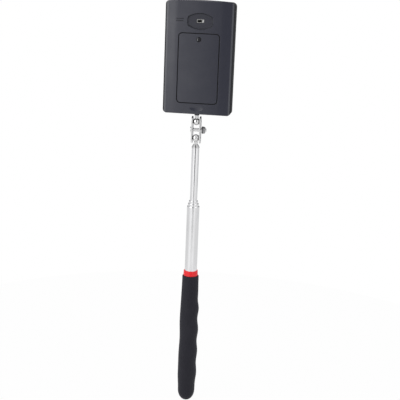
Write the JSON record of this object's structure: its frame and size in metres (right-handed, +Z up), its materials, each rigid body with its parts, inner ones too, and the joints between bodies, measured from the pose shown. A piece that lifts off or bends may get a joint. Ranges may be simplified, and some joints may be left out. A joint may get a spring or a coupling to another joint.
{
  "type": "telescoping inspection mirror",
  "caption": "Lighted rectangular inspection mirror on a telescoping chrome shaft with a double-ball swivel, a red collar and a contoured soft grip.",
  "frame": {"origin": "the tip of the grip's domed butt, on the shaft's axis", "axes": "+Z up the shaft towards the head, -Y the side with the battery door, +Y the mirror's side"},
  "size_m": [0.0508, 0.0144, 0.3104],
  "materials": {
    "soft_grip": "soft matte",
    "red_collar": "gloss",
    "satin_chrome": "satin",
    "chrome": "bright",
    "brass": "plain",
    "dark_steel": "blackened",
    "steel": "plated",
    "cell_steel": "plated",
    "black_plastic": "fine matte",
    "mirror": "silvered glass",
    "foam": "foam",
    "board": "solder mask",
    "lens": "clear"
  },
  "bodies": {
    "handle": {"grip": "soft_grip", "collar": "red_collar", "outer_tube": "satin_chrome"},
    "second_section": {"second_tube": "satin_chrome", "second_bush": "brass"},
    "third_section": {"third_tube": "satin_chrome", "third_bush": "brass"},
    "inner_section": {"inner_tube": "chrome", "inner_bush": "brass", "tip_ferrule": "chrome"},
    "lower_stud": {"lower_ball_stud": "chrome", "lower_stud_clip": "dark_steel"},
    "link": {"left_clamp_plate": "chrome", "right_clamp_plate": "chrome", "clamp_screw": "steel", "clamp_washer": "steel"},
    "nut": {"thumb_nut": "dark_steel"},
    "upper_stud": {"upper_ball_stud": "chrome", "upper_stud_clip": "dark_steel"},
    "head": {"back_shell": "black_plastic", "front_bezel": "black_plastic", "mirror_glass": "mirror", "mirror_pad": "foam", "circuit_board": "board", "switch_can": "steel", "left_led": "lens", "right_led": "lens", "upper_cell": "cell_steel", "lower_cell": "cell_steel", "cell_bridge": "brass", "positive_contact": "brass", "negative_contact": "brass"},
    "knob": {"switch_knob": "black_plastic"},
    "door": {"battery_door": "black_plastic", "door_screw": "steel"}
  },
  "joints": [
    {"name": "second_slide", "type": "slide", "parent": "handle", "child": "second_section", "axis": [0, 0, 1], "range_m": [0, 0.125]},
    {"name": "third_slide", "type": "slide", "parent": "second_section", "child": "third_section", "axis": [0, 0, 1], "range_m": [0, 0.125]},
    {"name": "inner_slide", "type": "slide", "parent": "third_section", "child": "inner_section", "axis": [0, 0, 1], "range_m": [0, 0.125]},
    {"name": "lower_spin", "type": "hinge", "parent": "inner_section", "child": "lower_stud", "pos_m": [0, 0, 0.2103], "axis": [0, 0, 1], "continuous": true},
    {"name": "lower_swing", "type": "hinge", "parent": "lower_stud", "child": "link", "pos_m": [0, 0, 0.2103], "axis": [1, 0, 0], "range_deg": [-90, 90]},
    {"name": "nut_turn", "type": "hinge", "parent": "link", "child": "nut", "pos_m": [0, 0, 0.2164], "axis": [1, 0, 0], "continuous": true},
    {"name": "upper_swing", "type": "hinge", "parent": "link", "child": "upper_stud", "pos_m": [0, 0, 0.2225], "axis": [-1, 0, 0], "range_deg": [-90, 90]},
    {"name": "head_spin", "type": "hinge", "parent": "upper_stud", "child": "head", "pos_m": [0, 0, 0.2283], "axis": [0, 0, 1], "continuous": true},
    {"name": "switch_slide", "type": "slide", "parent": "head", "child": "knob", "axis": [1, 0, 0], "range_m": [0, 0.0012]},
    {"name": "door_tilt", "type": "hinge", "parent": "head", "child": "door", "pos_m": [0, -0.0043, 0.2368], "axis": [1, 0, 0], "range_deg": [0, 75]}
  ]
}
